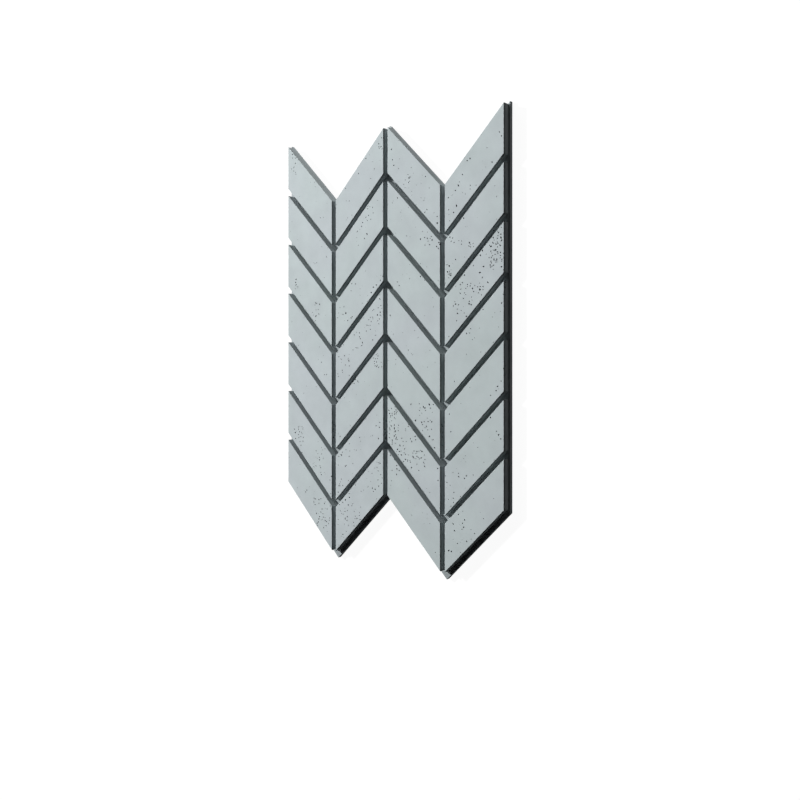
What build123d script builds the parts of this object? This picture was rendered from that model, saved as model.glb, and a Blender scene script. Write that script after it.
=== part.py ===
from build123d import *
from math import cos, radians, tan
import os

# Concrete wall panel, cast in one piece: slanted blocks stand on a thin back plate, with open grooves
# between them. The blocks lean the other way in every second column, so the rows run in a zigzag.
# Millimetres. The panel lies on its back, with X across the columns, Y along them and Z out of its face.
# The origin is on the back face, in the middle of the panel's length and width.

# Pattern
columns = 4
rows = 7
block_width = 120.0       # from groove to groove
strip_width = 59.4        # of one slanted block, square to its sloping edges
groove_width = 10.0       # between columns, and square to the slope between rows
slope = radians(45)       # of the sloping edges, from X

# Thickness
plate_thickness = 7.0     # solid back behind the grooves
groove_depth = 13.0       # height of the blocks above the back plate
arris = 0.4               # small flat on the front edges of each block

# Back plate. Its sides lie on the pattern's outer column lines, so that the pattern goes on across panels set
# side by side. It shows past the blocks at the sides and the bottom, and ends flush with them at the top.
side_ledge = 4.0
bottom_ledge = 7.6        # square to the slope

# Worked out from the above
column_pitch = block_width + groove_width
pitch_rise = column_pitch * tan(slope)
block_side = strip_width / cos(slope)
row_pitch = (strip_width + groove_width) / cos(slope)
field_height = (rows - 1) * row_pitch + block_side
plate_height = field_height + bottom_ledge / cos(slope)
column_lines = [(line - columns / 2) * column_pitch for line in range(columns + 1)]


def zigzag(x):
    """Height of the pattern's zigzag at x, from 0 on the first column line to a full rise below it."""
    lines_across = (x - column_lines[0]) / column_pitch
    return -pitch_rise * abs((lines_across + 1) % 2 - 1)


# The top edge of the back plate, from left to right, turns at each column line. The bottom edge follows it.
edge_y = [zigzag(x) for x in column_lines]
top_y = (plate_height - max(edge_y) - min(edge_y)) / 2
top_edge = [(x, top_y + y) for x, y in zip(column_lines, edge_y)]
bottom_edge = [(x, y - plate_height) for x, y in reversed(top_edge)]

# The top block of each column, between its grooves or, at the panel's sides, the ledge.
top_blocks = []
for column in range(columns):
    left = column_lines[column] + (side_ledge if column == 0 else groove_width / 2)
    right = column_lines[column + 1] - (side_ledge if column == columns - 1 else groove_width / 2)
    with BuildSketch() as block:
        with BuildLine():
            Polyline(
                (left, top_y + zigzag(left)),
                (right, top_y + zigzag(right)),
                (right, top_y + zigzag(right) - block_side),
                (left, top_y + zigzag(left) - block_side),
                close=True,
            )
        make_face()
    top_blocks.append(block.sketch)

with BuildPart() as panel:
    # Back plate
    with BuildSketch():
        with BuildLine():
            Polyline(*top_edge, *bottom_edge, close=True)
        make_face()
    extrude(amount=plate_thickness)

    # Raised blocks, down each column from its top block
    with BuildSketch(Plane.XY.offset(plate_thickness)):
        for block in top_blocks:
            with Locations(*[(0, -row * row_pitch) for row in range(rows)]):
                add(block)
    extrude(amount=groove_depth)

    # Front edges of the blocks
    chamfer(panel.faces().group_by(Axis.Z)[-1].edges(), arris)

panel.part.label = "concrete_panel"
os.makedirs("parts", exist_ok=True)
export_step(panel.part, "parts/concrete_panel.step")

box = panel.part.bounding_box()
print("panel", [round(side, 2) for side in box.size], "from", [round(side, 2) for side in box.min])
print("volume", round(panel.part.volume), "mm3 in", len(panel.part.solids()), "solid")
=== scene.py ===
# %% [markdown]
# # A cast concrete wall panel
# The panel is one casting: slanted blocks stand on a thin back plate, with open grooves between them. The
# imported CAD model gives its exact shape, so it is loaded first and nothing about its size changes here. What
# this script adds is what makes it read as concrete: air pores and chipped edges as real pits in the mesh,
# and a surface that is mottled and grainy, with shade painted into its grooves and pores.

# %% Load the frame
import math
import random

import bmesh
import bpy
from mathutils import Matrix, Vector, noise
from mathutils.bvhtree import BVHTree


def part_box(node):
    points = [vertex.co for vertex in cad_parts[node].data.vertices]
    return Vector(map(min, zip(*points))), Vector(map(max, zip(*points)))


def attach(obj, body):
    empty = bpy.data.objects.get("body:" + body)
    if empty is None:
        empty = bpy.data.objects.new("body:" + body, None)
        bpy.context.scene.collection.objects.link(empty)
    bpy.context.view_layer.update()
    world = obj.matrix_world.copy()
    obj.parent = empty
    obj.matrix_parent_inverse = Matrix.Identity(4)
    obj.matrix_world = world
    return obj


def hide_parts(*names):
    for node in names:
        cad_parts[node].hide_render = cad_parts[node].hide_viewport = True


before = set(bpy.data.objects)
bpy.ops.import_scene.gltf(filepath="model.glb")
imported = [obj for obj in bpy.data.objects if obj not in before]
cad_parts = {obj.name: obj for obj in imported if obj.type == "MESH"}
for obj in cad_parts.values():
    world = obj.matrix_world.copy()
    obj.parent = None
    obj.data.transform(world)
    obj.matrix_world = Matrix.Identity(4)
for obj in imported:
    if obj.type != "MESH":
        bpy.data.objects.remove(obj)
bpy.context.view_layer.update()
cad_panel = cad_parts["concrete_panel"]
low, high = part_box("concrete_panel")
front_z = high[2]
PLATE_THICKNESS = 0.007
floor_z = low[2] + PLATE_THICKNESS
scene = bpy.context.scene
scene.view_settings.view_transform = "Standard"
print("panel box", [round(v, 4) for v in low], [round(v, 4) for v in high])

# %% [markdown]
# ## Camera
# In the photograph every upright line of the panel stays exactly upright. That is a view with the camera held
# level and shifted, as architects take it. Here the panel lies on its back, so the camera looks down on it
# from its right, turned about the panel's long axis only, and the lens shift does the framing.

# %% Camera
IMAGE_SIDE = 800
LENS = 40.02
SENSOR = 36.0
SHIFT_Y = -0.0618
TURN = math.radians(39.375)
EYE = Vector((1.0534, -0.0065, 1.2612))

camera_data = bpy.data.cameras.new("camera")
camera_data.lens = LENS
camera_data.sensor_width = SENSOR
camera_data.shift_y = SHIFT_Y
camera = bpy.data.objects.new("camera", camera_data)
camera.location = EYE
camera.rotation_euler = (0, TURN, 0)
scene.collection.objects.link(camera)
scene.camera = camera
print("camera", round(EYE.length, 3), "m from the middle of the panel's back")

# %% [markdown]
# ## Light
# Short crisp shadows in the junctions of the grooves give the key light away: it is small, comes from the
# left and partly from the panel's top side, and stands about 31 degrees over the face. Three weak lamps fill
# in: one lights the walls of the falling grooves, one grazes the face and lights the top walls, and one is
# for the right side. Almost nothing comes from elsewhere, so the walls that face away from all lamps get only
# what the grooves throw back.

# %% Lamps
def disk_lamp(name, azimuth, elevation, distance, size, power):
    """A round area lamp aimed at the panel; azimuth runs from the left side (0) to the top side (90)."""
    data = bpy.data.lights.new(name, "AREA")
    data.shape = "DISK"
    data.size = size
    data.energy = power
    lamp = bpy.data.objects.new(name, data)
    around = math.radians(azimuth)
    up = math.radians(elevation)
    way = Vector((-math.cos(around) * math.cos(up), math.sin(around) * math.cos(up), math.sin(up)))
    lamp.location = distance * way
    lamp.rotation_euler = (-way).to_track_quat("-Z", "Y").to_euler()
    scene.collection.objects.link(lamp)
    return lamp


key = disk_lamp("key_lamp", azimuth=22.5, elevation=31, distance=7.5, size=0.22, power=840)
high_fill = disk_lamp("high_fill_lamp", azimuth=62, elevation=26, distance=7.2, size=2.4, power=260)
top_fill = disk_lamp("top_fill_lamp", azimuth=77, elevation=2.5, distance=1.33, size=0.1, power=4.9)
side_fill = disk_lamp("side_fill_lamp", azimuth=132, elevation=6, distance=4.0, size=1.0, power=14)
print("lamps", [lamp.name for lamp in (key, high_fill, top_fill, side_fill)])

# %% [markdown]
# ## Floor and background
# The photograph's background is plain white. The world and the floor show white to the camera and in
# reflections, through Light Path, and stay dark for the light that falls on the panel. A small share of the
# floor is ordinary shaded paint, so the panel's shadow stays on it.

# %% World
AMBIENT = 0.003
WHITE = (1, 1, 1, 1)

world = bpy.data.worlds.new("studio")
scene.world = world
world.use_nodes = True
world_nodes = world.node_tree.nodes
world_links = world.node_tree.links


def seen_directly(nodes, links):
    """A mask that is 1 where the camera, a reflection or a see-through part looks at the surface."""
    path = nodes.new("ShaderNodeLightPath")
    shiny = nodes.new("ShaderNodeMath")
    shiny.operation = "MAXIMUM"
    links.new(path.outputs["Is Glossy Ray"], shiny.inputs[0])
    links.new(path.outputs["Is Transmission Ray"], shiny.inputs[1])
    seen = nodes.new("ShaderNodeMath")
    seen.operation = "MAXIMUM"
    links.new(path.outputs["Is Camera Ray"], seen.inputs[0])
    links.new(shiny.outputs[0], seen.inputs[1])
    return seen.outputs[0]


backdrop = world_nodes.new("ShaderNodeMix")
backdrop.data_type = "RGBA"
backdrop.inputs["A"].default_value = (AMBIENT, AMBIENT, AMBIENT, 1)
backdrop.inputs["B"].default_value = WHITE
world_links.new(seen_directly(world_nodes, world_links), backdrop.inputs["Factor"])
world_links.new(backdrop.outputs["Result"], world_nodes["Background"].inputs["Color"])
print("world", world.name)

# %% Floor
FLOOR_GAP = 0.0002
FLOOR_REACH = 4.0
DULL_GREY = (0.07, 0.07, 0.07, 1)   # for the light that the floor throws on the panel
DULL_ROUGHNESS = 0.9
PAINT_GREY = (0.08, 0.08, 0.08, 1)  # the shaded share that the camera sees
GLOW = 0.95                         # the white share that the camera sees

floor_shape = bmesh.new()
bmesh.ops.create_grid(
    floor_shape, x_segments=1, y_segments=1, size=FLOOR_REACH, matrix=Matrix.Translation((0, 0, -FLOOR_GAP))
)
floor_mesh = bpy.data.meshes.new("floor")
floor_shape.to_mesh(floor_mesh)
floor_shape.free()
floor = bpy.data.objects.new("floor", floor_mesh)
scene.collection.objects.link(floor)

floor_paint = bpy.data.materials.new("white_floor")
floor_paint.use_nodes = True
nodes = floor_paint.node_tree.nodes
links = floor_paint.node_tree.links
dull = nodes["Principled BSDF"]
dull.inputs["Base Color"].default_value = DULL_GREY
dull.inputs["Roughness"].default_value = DULL_ROUGHNESS
glow = nodes.new("ShaderNodeEmission")
glow.inputs["Color"].default_value = WHITE
glow.inputs["Strength"].default_value = GLOW
white_paint = nodes.new("ShaderNodeBsdfDiffuse")
white_paint.inputs["Color"].default_value = PAINT_GREY
shown = nodes.new("ShaderNodeAddShader")
links.new(glow.outputs[0], shown.inputs[0])
links.new(white_paint.outputs[0], shown.inputs[1])
choose = nodes.new("ShaderNodeMixShader")
links.new(seen_directly(nodes, links), choose.inputs[0])
links.new(dull.outputs[0], choose.inputs[1])
links.new(shown.outputs[0], choose.inputs[2])
links.new(choose.outputs[0], nodes["Material Output"].inputs["Surface"])
floor_mesh.materials.append(floor_paint)
print("floor", floor.name)

# %% [markdown]
# ## The panel's mesh
# The CAD mesh comes as loose triangles. A copy of it is merged and its flat faces are joined again, which
# gives a clean closed mesh to cut pits into. The CAD node itself is left alone and is replaced by this piece.

# %% Merged copy of the casting
WELD = 1e-6
FLAT = math.radians(0.5)

blank = bmesh.new()
blank.from_mesh(cad_panel.data)
bmesh.ops.remove_doubles(blank, verts=blank.verts[:], dist=WELD)
bmesh.ops.dissolve_limit(
    blank,
    angle_limit=FLAT,
    verts=blank.verts[:],
    edges=blank.edges[:],
    use_dissolve_boundaries=False,
)
open_edges = [edge for edge in blank.edges if not edge.is_manifold]
surface = BVHTree.FromBMesh(blank)
blank_mesh = bpy.data.meshes.new("cast_panel")
blank.to_mesh(blank_mesh)
blank.free()
panel = bpy.data.objects.new("cast_panel", blank_mesh)
scene.collection.objects.link(panel)
print("casting", len(blank_mesh.polygons), "faces,", len(open_edges), "open edges")

# %% [markdown]
# ## Air pores
# Air that is trapped against the mould leaves small round pits in cast concrete. They gather where the mix
# was stiff, and leave other blocks almost clean. The pores that stand out in the photograph are listed one by
# one where the camera sees them, in the picture's pixels, and the faint ones in patches. A ray from the
# camera finds the face that carries each pore. That way a pore always sits on the surface, on a block's face
# as well as on the wall of a groove.

# %% Where a pore sits
SIGHT_STEP = LENS / SENSOR * IMAGE_SIDE
ACROSS = Vector((math.cos(TURN), 0, -math.sin(TURN)))
UPWARD = Vector((0, 1, 0))
FORWARD = Vector((-math.sin(TURN), 0, -math.cos(TURN)))
MIDDLE_X = IMAGE_SIDE / 2
MIDDLE_Y = IMAGE_SIDE / 2 + SHIFT_Y * IMAGE_SIDE


def seen_at(x, y):
    """The point of the panel that the camera sees at a pixel, and the direction its face looks in."""
    sight = FORWARD * SIGHT_STEP + ACROSS * (x - MIDDLE_X) - UPWARD * (y - MIDDLE_Y)
    place, facing, _, _ = surface.ray_cast(EYE, sight.normalized())
    return place, facing


place, facing = seen_at(MIDDLE_X, MIDDLE_Y)
print("straight ahead lies", [round(v, 4) for v in place], "facing", [round(v, 2) for v in facing])

# %% Pores that stand out in the photograph
# Read block by block: the width in millimetres, and the pixels where such pores lie. A few of them
# sit on a block's edge, where they read as a nick.
PORES = {
    3.7: [
        (345.9, 313.1), (348.9, 360.6), (367, 234), (413.1, 456.9), (415.5, 420.5), (429.3, 404.4),
        (429.4, 436.4), (437.3, 223.1), (440.3, 244.4), (456.6, 205.7), (458.4, 185.5), (479.9, 272.5),
        (479.9, 289.5), (495.4, 249.9), (501, 237.5),
    ],
    3.2: [
        (295.4, 432.5), (296.1, 284.9), (341.4, 454.9), (345.1, 518.5), (345.3, 500), (373.5, 287.2),
        (377.4, 314.9), (379.8, 299), (394.4, 428.3), (395.3, 431.3), (396.9, 468.8), (400, 445.5),
        (401.4, 455), (405.5, 459.4), (409, 177.9), (422, 451.5), (423.5, 406.9), (438.8, 242.6),
        (447.5, 271.9), (448.8, 550.5), (449.2, 265.9), (451.4, 551.4), (469.5, 242.7), (469.2, 303.8),
        (470, 158.4), (482.4, 250.6), (490.9, 246.4), (494, 259.5), (496.1, 244), (496.8, 259.4),
        (498.5, 434.8), (500.2, 245.4), (501.5, 240.4), (501.6, 303),
    ],
    2.9: [
        (293.9, 167.4), (294.3, 429), (295.5, 163.4), (295.5, 438.3), (295.8, 282.3), (296.1, 279.3),
        (302, 452.7), (306.9, 490.1), (315.1, 504.6), (315.4, 498.9), (315.6, 303), (316.4, 513.4),
        (318.9, 499.6), (318.9, 519.1), (319.6, 304.2), (319.6, 516.6), (325.2, 520.6), (326.5, 521.6),
        (319.5, 457.4), (319.5, 459.8), (331.5, 476.5), (340.1, 436.4), (342.8, 502.4), (347.4, 516.6),
        (348.3, 504.9), (349.3, 497.3), (355.4, 379.2), (356.9, 518.4), (362.4, 342.6), (366, 158.4),
        (371.4, 292.5), (372.4, 488.1), (375.1, 489.4), (376.5, 284.9), (378.4, 438.5), (378.9, 486.3),
        (388.8, 410.3), (389.6, 413.4), (390.1, 315.4), (390.4, 455.4), (393.8, 165.3), (394.4, 425),
        (394.4, 436), (394.8, 459.3), (396, 439), (396.6, 474.5), (396.8, 465.4), (397.5, 449.4),
        (399.5, 451.5), (402.6, 415.5), (403.8, 461.6), (411, 404.4), (411.5, 467.6), (411.8, 441.5),
        (415.3, 436.4), (420.5, 239.1), (420.5, 276.6), (421.3, 457.9), (421.8, 422.3), (424.6, 466.4),
        (425, 407.9), (426.4, 426.4), (431.8, 421.8), (432.1, 240), (434.6, 447.8), (436.6, 246.4),
        (437.8, 468.5), (438.3, 248.4), (450, 237.2), (450.9, 275.4), (453.6, 212.5), (454.6, 530.8),
        (455.5, 190.4), (455.6, 304.1), (457.5, 313.4), (463.6, 218.1), (463.6, 527.2), (464.5, 275),
        (464.5, 478.3), (466.4, 316.3), (466.5, 475.8), (466.6, 333.4), (466.6, 541.4), (467.1, 160.6),
        (471.2, 304.7), (472.6, 288.4), (480.4, 255.2), (483.6, 266.5), (488, 282.3), (490.6, 417.5),
        (492.1, 162), (492.9, 242.8), (497.5, 386.4), (500.7, 234.2), (501.5, 266.7),
    ],
    2.35: [
        (292.5, 151.1), (292.5, 154.5), (292.5, 158.1), (295, 155.1), (295.3, 158.3), (298.4, 426.9),
        (298.6, 429.3), (298.9, 437.4), (299.6, 431.7), (300.8, 436.7), (301.1, 445.2), (301.5, 432.3),
        (303, 441.1), (303.3, 437.5), (305.7, 492), (317, 523.5), (317.7, 525.4), (318.9, 503.3),
        (320.8, 498.7), (320.8, 512.2), (322.1, 509), (323.3, 517.2), (327.1, 509), (328.4, 523.5),
        (329.7, 517.9), (330.3, 505.9), (330.9, 493.9), (331.5, 509), (298.5, 434.5), (300, 441.5),
        (316.1, 450.9), (318.8, 314), (320.6, 467.5), (320.8, 472.3), (321.4, 474.6), (321.5, 454),
        (338.9, 456.6), (339.5, 504.6), (342.3, 370.5), (342.4, 452), (342.8, 485.5), (342.9, 534.4),
        (343, 514.4), (343.9, 306.6), (344.5, 355.8), (345.5, 466.3), (347, 520.4), (347.4, 510.5),
        (349.3, 375.5), (349.4, 365.8), (351, 317.9), (351.1, 290.8), (351.8, 283.6), (352.3, 316.6),
        (353.5, 522.4), (354, 525.9), (355.4, 283.9), (358.5, 173.4), (359.4, 332.8), (359.5, 515.5),
        (361.8, 226.4), (362.6, 222.5), (364.5, 238.5), (365.9, 217.4), (366.4, 331.1), (367.6, 208.9),
        (368.8, 319.5), (370.4, 317.3), (370.4, 329.4), (372.6, 339.8), (373.8, 309.5), (375.6, 335.3),
        (376.1, 425.9), (376.6, 366.6), (377.6, 320.9), (378.1, 356), (378.8, 367.2), (378.9, 462.6),
        (379.4, 427.3), (379.9, 422.4), (380.4, 280.4), (380.9, 305.5), (381.3, 146.5), (391.5, 149.3),
        (391.5, 408.5), (392.3, 442), (392.6, 159.8), (394.8, 411.8), (397.4, 281.9), (397.5, 198),
        (398.3, 430.6), (398.5, 425.4), (399.1, 285.5), (399.3, 470.4), (403.3, 445.8), (404.6, 448.8),
        (405.5, 454.5), (408.3, 426.5), (408.5, 182.4), (414, 451), (417, 456.4), (418.8, 470.4),
        (423.5, 462.4), (424.9, 212.3), (425.5, 176.4), (426.9, 209.5), (430.4, 408.1), (431.4, 236.4),
        (431.4, 429.3), (433.5, 404.6), (437.2, 216.4), (438, 480.5), (448.4, 197.8), (448.8, 209.6),
        (449, 336.5), (451.1, 241.2), (452.6, 238.1), (453.3, 524), (453.5, 498.1), (453.9, 492.5),
        (454.1, 242.5), (455.6, 259.5), (457.4, 309.1), (457.5, 543.4), (458.4, 514.3), (458.5, 476.5),
        (460.8, 289.1), (461.5, 244.1), (462.1, 529.3), (462.4, 174.4), (462.5, 282.5), (462.6, 523.4),
        (463.4, 298.4), (464.6, 520), (465.9, 294.5), (467.4, 284.4), (470.3, 185.4), (470.6, 246.9),
        (473.4, 265.4), (473.6, 291.5), (474.4, 533.5), (477.9, 286.9), (482.4, 277.4), (483, 286.5),
        (490.6, 395.4), (491.4, 257.4), (496.1, 390.6), (497.8, 253.5), (499.4, 131.9), (500.5, 252.4),
        (500.5, 255.5), (500.8, 439), (501.1, 381.1), (501.4, 227.4), (501.5, 135.9),
    ],
    2.1: [
        (321.5, 362.4), (324.6, 374.6), (326.4, 374.5), (329.9, 480.1), (341.3, 479.1), (357.6, 231.3),
        (373.4, 491.5), (378, 479.9), (381.4, 483.2), (382.2, 478), (382.6, 276.2), (456.6, 320.7),
        (456.8, 330.4), (458.5, 473.2), (469.5, 333), (470.6, 328.8), (496.5, 431.2),
    ],
}
print("pores by width", {width: len(places) for width, places in PORES.items()})

# %% Patches of faint pores
# Where the photograph shows more pores than can be told apart: a box in pixels, how many, and how wide.
PATCHES = [
    # first column
    (292, 168, 297, 176, 3, 1.6), (295, 286, 298, 291, 3, 1.8), (312, 301, 321, 322, 9, 1.7),
    (294, 426, 304, 446, 6, 1.6), (314, 448, 323, 470, 6, 1.6), (313, 494, 331, 528, 16, 1.7),
    # second column
    (378, 142, 382, 150, 5, 1.8), (367, 205, 375, 224, 6, 1.7), (366, 305, 381, 327, 12, 1.8),
    (346, 332, 362, 352, 8, 1.7), (337, 356, 349, 378, 7, 1.7), (373, 353, 382, 368, 11, 1.7),
    (354, 380, 359, 384, 3, 1.9), (337, 439, 351, 466, 6, 1.7), (376, 458, 382, 484, 6, 1.8),
    (338, 480, 353, 528, 18, 1.7), (354, 510, 362, 520, 5, 1.7),
    # third column
    (405, 174, 411, 183, 4, 1.6), (424, 236, 432, 246, 6, 1.8), (389, 400, 398, 446, 28, 1.8),
    (396, 424, 416, 456, 18, 1.7), (405, 450, 426, 468, 18, 1.7), (417, 406, 434, 440, 14, 1.7),
    # fourth column
    (454, 236, 476, 248, 6, 1.7), (447, 262, 451, 278, 8, 1.7), (489, 230, 502, 270, 32, 1.8),
    (452, 278, 484, 312, 26, 1.7), (448, 414, 452, 436, 2, 1.6), (448, 498, 459, 515, 6, 1.7),
    # walls of the upright grooves and of the right side, where the pores crowd into dark spots
    (333, 420, 335.5, 438, 8, 2.4), (384, 420, 387, 440, 8, 2.4), (440.5, 424, 443, 446, 8, 2.4),
    (503.6, 246, 506, 300, 9, 2.2), (503.6, 365, 506, 378, 3, 2.2),
]
print("patches", len(PATCHES), "with", sum(count for *_, count, _ in PATCHES), "faint pores")

# %% Collect the pores
SEED = 2795
CLEARANCE = 0.0002
TRIES = 6                     # for each pore of a patch
FAINT_SPREAD = (0.95, 1.45)   # of a faint pore's width around the usual one
MM_PER_M = 1000
draw = random.Random(SEED)
pores = []


def add_pore(place, facing, width):
    """Keeps a pore if it has a face to sit in and clears the pores before it."""
    if place is None:
        return False
    for other, _, other_width in pores:
        if (other - place).length < (width + other_width) * 0.5 + CLEARANCE:
            return False
    pores.append((place, facing, width))
    return True


for width, places in PORES.items():
    for x, y in places:
        add_pore(*seen_at(x, y), width / MM_PER_M)
print("pores that stand out", len(pores))
for left, top, right, bottom, count, usual in PATCHES:
    wanted = count
    for _ in range(count * TRIES):
        width = usual * draw.uniform(*FAINT_SPREAD) / MM_PER_M
        spot = seen_at(draw.uniform(left, right), draw.uniform(top, bottom))
        wanted -= add_pore(*spot, width)
        if not wanted:
            break
print("with the patches", len(pores))

# %% Fine pores over the rest
# Smaller pores are scattered over every side, thicker where a slow noise is high, so the groove walls, the
# edges and the back are not left blank.
SCATTER = [
    # from which side, how many, usual width in millimetres
    ((0, 0, 1), 260, 1.2),
    ((0, 0, -1), 150, 1.8),
    ((1, 0, 0.6), 60, 1.5),
    ((-1, 0, 0.6), 60, 1.5),
    ((0.3, 1, 0.5), 50, 1.5),
    ((0.3, -1, 0.5), 50, 1.5),
]
CLOUDS_PER_M = 11
CLOUD_CUT = (-0.6, 0.5)    # a pore stays where the noise is over a value drawn from this range
FINE_SPREAD = (0.6, 1.4)   # of a fine pore's width around the usual one
reach = Vector((high[0] - low[0], high[1] - low[1], high[2] - low[2])).length

for side, count, usual in SCATTER:
    outward = Vector(side).normalized()
    before = len(pores)
    while len(pores) < before + count:
        target = Vector([draw.uniform(a, b) for a, b in zip(low, high)])
        if noise.noise(target * CLOUDS_PER_M) < draw.uniform(*CLOUD_CUT):
            continue
        place, facing, _, _ = surface.ray_cast(target + outward * reach, -outward)
        add_pore(place, facing, usual * draw.uniform(*FINE_SPREAD) / MM_PER_M)
print("pores in all", len(pores))

# %% [markdown]
# Each pore is cut by a small lumpy ball: an icosphere, stretched and turned at random, with its points pushed
# in and out, set so that a bit more than half of it is below the surface. All the balls go into one mesh, and
# one Boolean takes them out of the casting.

# %% Lumpy balls
LUMP = 0.135                # how far a point moves in or out, against its distance from the middle
STRETCH = (1.0, 1.45)       # longer one way and narrower the other
BALL_HEIGHT = (0.8, 1.1)    # against the pore's width
SINK = (0.08, 0.22)         # of the middle below the surface, against the pore's width
BATCH = 40


def lumpy_ball(batch, place, facing, width):
    """Adds one ball for a pore of this width, on a face that looks in the direction of facing."""
    turn = facing.to_track_quat("Z", "Y").to_matrix().to_4x4()
    spin = Matrix.Rotation(draw.uniform(0, math.tau), 4, "Z")
    stretch = draw.uniform(*STRETCH)
    tall = draw.uniform(*BALL_HEIGHT)
    size = Matrix.Diagonal((width / 2 * stretch, width / 2 / stretch, width / 2 * tall, 1))
    sink = Matrix.Translation(place - facing * width * draw.uniform(*SINK))
    made = bmesh.ops.create_icosphere(batch, subdivisions=2, radius=1.0, matrix=sink @ turn @ spin @ size)
    middle = sink.translation
    for vert in made["verts"]:
        vert.co = middle + (vert.co - middle) * (1 + draw.uniform(-LUMP, LUMP))


# A bmesh operator looks at the whole mesh each time, so the balls are made in small batches and then joined.
balls = bmesh.new()
for start in range(0, len(pores), BATCH):
    batch = bmesh.new()
    for pore in pores[start:start + BATCH]:
        lumpy_ball(batch, *pore)
    batch_mesh = bpy.data.meshes.new("pore_batch")
    batch.to_mesh(batch_mesh)
    batch.free()
    balls.from_mesh(batch_mesh)
    bpy.data.meshes.remove(batch_mesh)
ball_mesh = bpy.data.meshes.new("pore_balls")
balls.to_mesh(ball_mesh)
balls.free()
ball_set = bpy.data.objects.new("pore_balls", ball_mesh)
scene.collection.objects.link(ball_set)
print("balls", len(pores), "with", len(ball_mesh.polygons), "faces")

# %% Cut the pores
cut = panel.modifiers.new("pores", "BOOLEAN")
cut.operation = "DIFFERENCE"
cut.solver = "MANIFOLD"
cut.object = ball_set
scene_graph = bpy.context.evaluated_depsgraph_get()
cut_mesh = bpy.data.meshes.new_from_object(panel.evaluated_get(scene_graph))
panel.modifiers.remove(cut)
panel.data = cut_mesh
panel.data.name = "cast_panel"
bpy.data.objects.remove(ball_set)
bpy.data.meshes.remove(ball_mesh)
bpy.data.meshes.remove(blank_mesh)
print("cut panel", len(cut_mesh.polygons), "faces")

# %% Mark the pits
# A face belongs to a pit when it is small and one of its points has left the casting's own surface. Pits are
# shaded smooth and carry a mark with which the material paints shade into them, and the flat faces stay flat.
PIT_DEPTH = 0.00004
PIT_FACE_AREA = 0.000003
sunk = [surface.find_nearest(vert.co)[3] > PIT_DEPTH for vert in cut_mesh.vertices]
pit_mark = cut_mesh.attributes.new("pit", "FLOAT", "FACE")
pits = 0
for polygon in cut_mesh.polygons:
    in_pit = polygon.area < PIT_FACE_AREA and any(sunk[corner] for corner in polygon.vertices)
    polygon.use_smooth = in_pit
    pit_mark.data[polygon.index].value = 1.0 if in_pit else 0.0
    pits += in_pit
print("pit faces", pits, "of", len(cut_mesh.polygons))

# %% [markdown]
# ## Concrete
# Fair-faced concrete is never one colour. Slow clouds shift it between a blue and a green grey, finer
# clouds make it lighter and darker, and grains of sand show as a faint speckle. Shade is painted on top: the
# walls of the grooves are painted darker than the faces, the floors a little less dark, and the pores darker
# still. Walls that look away from the key lamp get the most painted shade just under the front edge and a
# little painted light further down. Everything reads Object coordinates, in metres.

# %% Concrete material
SPECULAR = 0.08

concrete = bpy.data.materials.new("cast_concrete")
concrete.use_nodes = True
nodes = concrete.node_tree.nodes
links = concrete.node_tree.links
shader = nodes["Principled BSDF"]
shader.inputs["Specular IOR Level"].default_value = SPECULAR
where = nodes.new("ShaderNodeTexCoord").outputs["Object"]


def clouds(scale, detail, roughness=0.5):
    """A noise value around 0.5 on the panel's own coordinates; scale is per metre."""
    made = nodes.new("ShaderNodeTexNoise")
    made.inputs["Scale"].default_value = scale
    made.inputs["Detail"].default_value = detail
    made.inputs["Roughness"].default_value = roughness
    links.new(where, made.inputs["Vector"])
    return made.outputs["Fac"]


def ranged(value, from_low, from_high, to_low, to_high):
    """Maps a value from one range to another, clamped at both ends."""
    made = nodes.new("ShaderNodeMapRange")
    made.inputs["From Min"].default_value = from_low
    made.inputs["From Max"].default_value = from_high
    made.inputs["To Min"].default_value = to_low
    made.inputs["To Max"].default_value = to_high
    links.new(value, made.inputs["Value"])
    return made.outputs["Result"]


def times(first, second):
    """The product of two values."""
    made = nodes.new("ShaderNodeMath")
    made.operation = "MULTIPLY"
    links.new(first, made.inputs[0])
    links.new(second, made.inputs[1])
    return made.outputs[0]


print("material", concrete.name)

# %% Colour of the concrete
BLUE_GREY = (0.463, 0.509, 0.528, 1)
GREEN_GREY = (0.454, 0.511, 0.517, 1)
TINT_RANGE = (0.38, 0.62)   # of the noise, from the one grey to the other
NOISE_RANGE = (0.3, 0.7)    # where most values of a noise lie
MOTTLE = (0.955, 1.045)
SPECKLE = (0.965, 1.035)

tint = nodes.new("ShaderNodeMix")
tint.data_type = "RGBA"
tint.inputs["A"].default_value = BLUE_GREY
tint.inputs["B"].default_value = GREEN_GREY
links.new(ranged(clouds(scale=7, detail=2), *TINT_RANGE, 0, 1), tint.inputs["Factor"])
mottle = ranged(clouds(scale=28, detail=4), *NOISE_RANGE, *MOTTLE)
speckle = ranged(clouds(scale=900, detail=2), *NOISE_RANGE, *SPECKLE)
print("colour between", BLUE_GREY[:3], "and", GREEN_GREY[:3])

# %% Painted shade of walls, floors and pits
WALL_SHADE = 0.72          # painted shade on all that lies below the front faces, against the faces
FLOOR_SHADE_LIFT = 1.1          # lightens the painted shade on the floors, against the walls
PIT_SHADE = 0.37           # painted shade inside a pore
EDGE_TONE = 0.4           # of shaded walls just under the front edge
DEEP_TONE = 1.06          # of shaded walls further down
UNDER_EDGE = 0.0015       # where EDGE_TONE ends, below the front
DEEP = 0.006              # where DEEP_TONE begins, below the front
NEAR = 0.0002             # a tone changes between NEAR and FAR from the front or from a floor
FAR = 0.0006
AWAY = (1, -1, 0)         # to the right and down, away from the key lamp
AWAY_RANGE = (0.3, 0.9)   # of a wall's normal along AWAY, from lit to shaded

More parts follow.
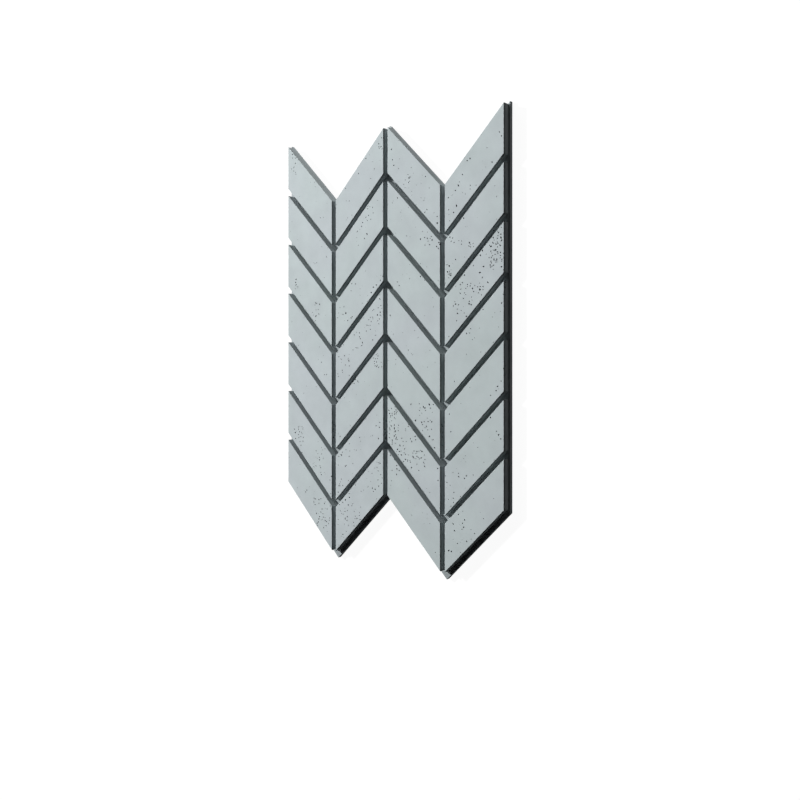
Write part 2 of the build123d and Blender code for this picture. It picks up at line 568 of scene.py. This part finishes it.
height = nodes.new("ShaderNodeSeparateXYZ")
links.new(where, height.inputs[0])
level = height.outputs["Z"]
# Painted shade in the grooves: darker below the front, a little lighter again on the floors.
wall_shade = ranged(level, front_z - FAR, front_z - NEAR, WALL_SHADE, 1.0)
floor_shade_lift = ranged(level, floor_z + NEAR, floor_z + FAR, FLOOR_SHADE_LIFT, 1.0)

pit_read = nodes.new("ShaderNodeAttribute")
pit_read.attribute_name = "pit"
# Painted shade inside the pores.
pit = ranged(pit_read.outputs["Fac"], 0, 1, 1.0, PIT_SHADE)

facing_away = nodes.new("ShaderNodeVectorMath")
facing_away.operation = "DOT_PRODUCT"
facing_away.inputs[1].default_value = AWAY
links.new(nodes.new("ShaderNodeNewGeometry").outputs["True Normal"], facing_away.inputs[0])
shaded_wall = nodes.new("ShaderNodeMix")
shaded_wall.inputs["A"].default_value = 1.0
links.new(ranged(facing_away.outputs["Value"], *AWAY_RANGE, 0, 1), shaded_wall.inputs["Factor"])
links.new(ranged(level, front_z - DEEP, front_z - UNDER_EDGE, DEEP_TONE, EDGE_TONE), shaded_wall.inputs["B"])

# All painted shade together; mottle and speckle are the concrete's own colour.
groove_shade = times(times(wall_shade, floor_shade_lift), shaded_wall.outputs["Result"])
tone = times(times(mottle, speckle), times(groove_shade, pit))
toned = nodes.new("ShaderNodeMix")
toned.data_type = "RGBA"
toned.blend_type = "MULTIPLY"
toned.inputs["Factor"].default_value = 1.0
links.new(tint.outputs["Result"], toned.inputs["A"])
links.new(tone, toned.inputs["B"])
links.new(toned.outputs["Result"], shader.inputs["Base Color"])
print("tones", WALL_SHADE, FLOOR_SHADE_LIFT, PIT_SHADE, DEEP_TONE, EDGE_TONE)

# %% Grain of the concrete
ROUGHNESS = (0.78, 0.92)
GRAIN_STRENGTH = 0.35
GRAIN_HEIGHT = 0.0002

links.new(ranged(clouds(scale=60, detail=3), *NOISE_RANGE, *ROUGHNESS), shader.inputs["Roughness"])
grain = nodes.new("ShaderNodeBump")
grain.inputs["Strength"].default_value = GRAIN_STRENGTH
grain.inputs["Distance"].default_value = GRAIN_HEIGHT
links.new(clouds(scale=700, detail=3, roughness=0.6), grain.inputs["Height"])
links.new(grain.outputs["Normal"], shader.inputs["Normal"])
panel.data.materials.clear()
panel.data.materials.append(concrete)
print("grain on", panel.name)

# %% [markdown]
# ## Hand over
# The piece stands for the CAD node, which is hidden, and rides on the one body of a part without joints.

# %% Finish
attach(panel, "root")
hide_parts("concrete_panel")
